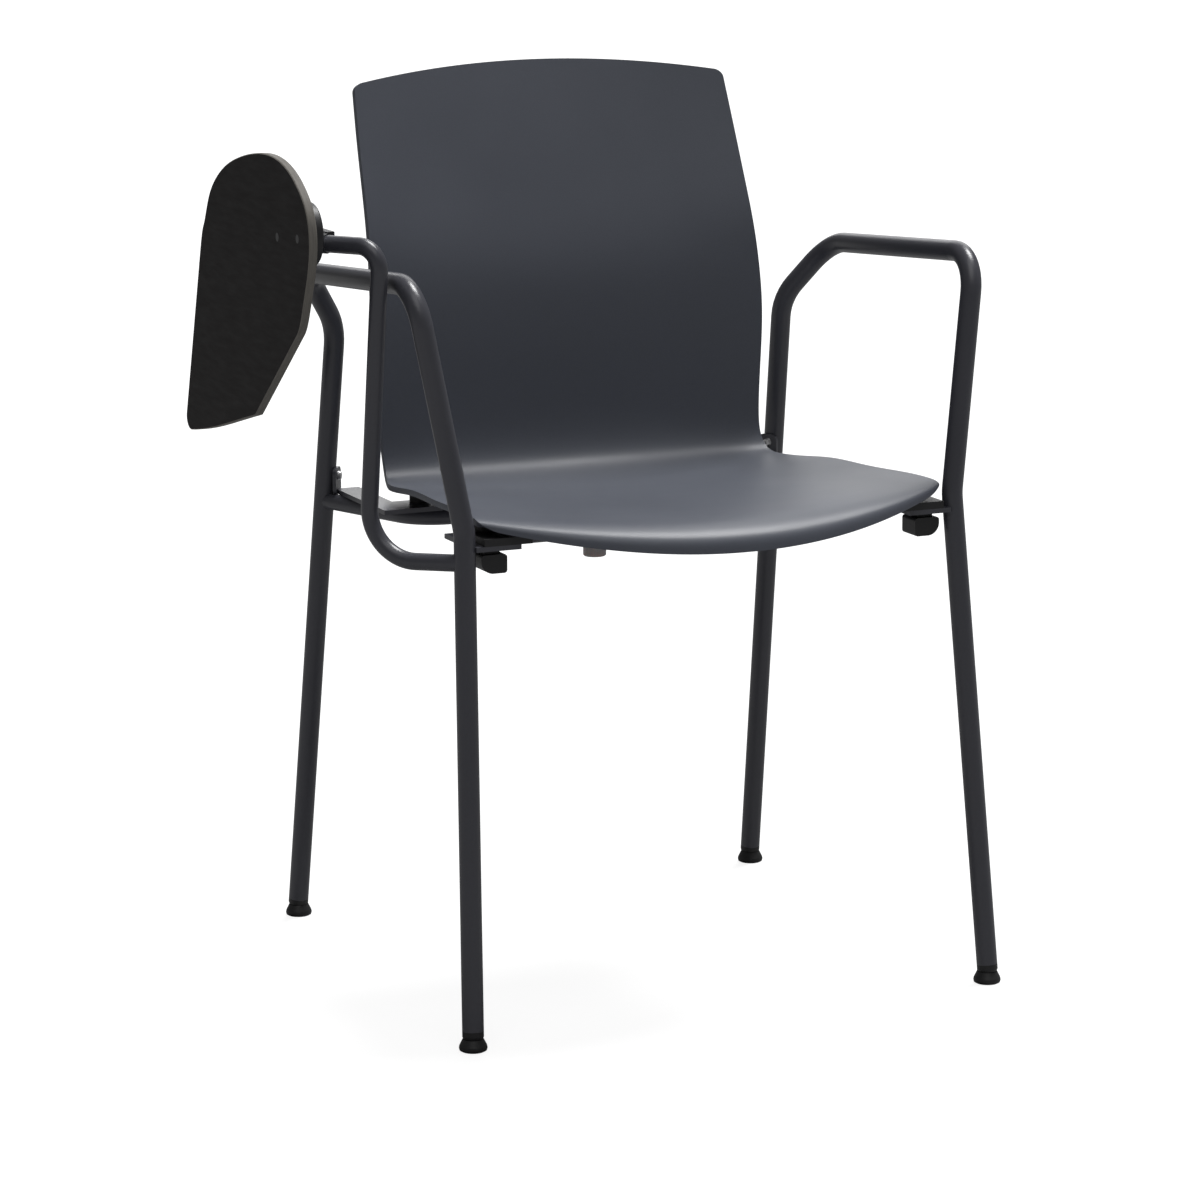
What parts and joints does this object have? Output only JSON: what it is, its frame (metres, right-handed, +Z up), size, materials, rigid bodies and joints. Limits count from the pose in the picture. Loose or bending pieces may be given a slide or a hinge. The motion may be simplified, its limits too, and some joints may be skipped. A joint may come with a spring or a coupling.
{
  "type": "stacking armchair with writing tablet",
  "caption": "Stacking armchair with a curved plastic seat-and-back shell on a bent tube frame that also forms the arms, and a lifting and turning writing tablet.",
  "frame": {"origin": "on the floor, under the middle of the whole chair's bounding box with the tablet hanging at rest", "axes": "+Z up, -Y the way the sitter faces, +X towards the sitter's left; the tablet is on the -X side"},
  "size_m": [0.6743, 0.5472, 0.8615],
  "materials": {
    "frame_paint": "satin powder coat",
    "shell_plastic": "fine matte grain",
    "tablet_laminate": "matte compact laminate",
    "black_plastic": "matte moulded",
    "bumper_plastic": "translucent grey moulded",
    "hinge_paint": "black powder coat",
    "steel_fasteners": "zinc plated"
  },
  "bodies": {
    "frame": {"foot_insert_front_left": "black_plastic", "foot_insert_front_right": "black_plastic", "foot_insert_rear_left": "black_plastic", "foot_insert_rear_right": "black_plastic", "front_bracket_left": "frame_paint", "front_bracket_right": "frame_paint", "front_cross_tube": "frame_paint", "front_spacer_left": "black_plastic", "front_spacer_right": "black_plastic", "leg_screws": "steel_fasteners", "rear_bracket_left": "frame_paint", "rear_bracket_right": "frame_paint", "rear_cross_tube": "frame_paint", "rear_spacer_left": "black_plastic", "rear_spacer_right": "black_plastic", "seat_back_shell": "shell_plastic", "shell_screws": "steel_fasteners", "side_frame_left": "frame_paint", "side_frame_right": "frame_paint", "stacking_bumper_left": "black_plastic", "stacking_bumper_right": "black_plastic", "tablet_hinge_body": "hinge_paint", "tablet_hinge_pin": "steel_fasteners", "tablet_support_tube": "frame_paint", "tube_bumper_left": "bumper_plastic", "tube_bumper_right": "bumper_plastic"},
    "tablet_arm": {"tablet_hinge_arm": "hinge_paint", "tablet_friction_washer": "black_plastic", "tablet_pivot_bolt": "steel_fasteners", "tablet_pivot_nut": "steel_fasteners"},
    "tablet": {"tablet_swivel_plate": "hinge_paint", "tablet_board": "tablet_laminate", "tablet_screws": "steel_fasteners", "tablet_sleeve_nuts": "hinge_paint"},
    "foot_front_left": {"glide_front_left": "black_plastic"},
    "foot_front_right": {"glide_front_right": "black_plastic"},
    "foot_rear_left": {"glide_rear_left": "black_plastic"},
    "foot_rear_right": {"glide_rear_right": "black_plastic"}
  },
  "joints": [
    {"name": "tablet_lift", "type": "hinge", "parent": "frame", "child": "tablet_arm", "pos_m": [-0.30585, -0.0826, 0.733], "axis": [0, 1, 0], "range_deg": [0, 90]},
    {"name": "tablet_turn", "type": "hinge", "parent": "tablet_arm", "child": "tablet", "pos_m": [-0.32686, -0.1116, 0.74], "axis": [-1, 0, 0], "range_deg": [0, 180]},
    {"name": "glide_tilt_front_left", "type": "hinge", "parent": "frame", "child": "foot_front_left", "pos_m": [0.30915, -0.2476, 0.017], "axis": [-0.9448, -0.3278, 0], "range_deg": [-6, 6]},
    {"name": "glide_tilt_front_right", "type": "hinge", "parent": "frame", "child": "foot_front_right", "pos_m": [-0.22285, -0.2476, 0.017], "axis": [-0.9448, 0.3278, 0], "range_deg": [-6, 6]},
    {"name": "glide_tilt_rear_left", "type": "hinge", "parent": "frame", "child": "foot_rear_left", "pos_m": [0.29764, 0.2604, 0.017], "axis": [0.9916, -0.1293, 0], "range_deg": [-6, 10]},
    {"name": "glide_tilt_rear_right", "type": "hinge", "parent": "frame", "child": "foot_rear_right", "pos_m": [-0.21135, 0.2604, 0.017], "axis": [0.9916, 0.1293, 0], "range_deg": [-6, 10]}
  ]
}
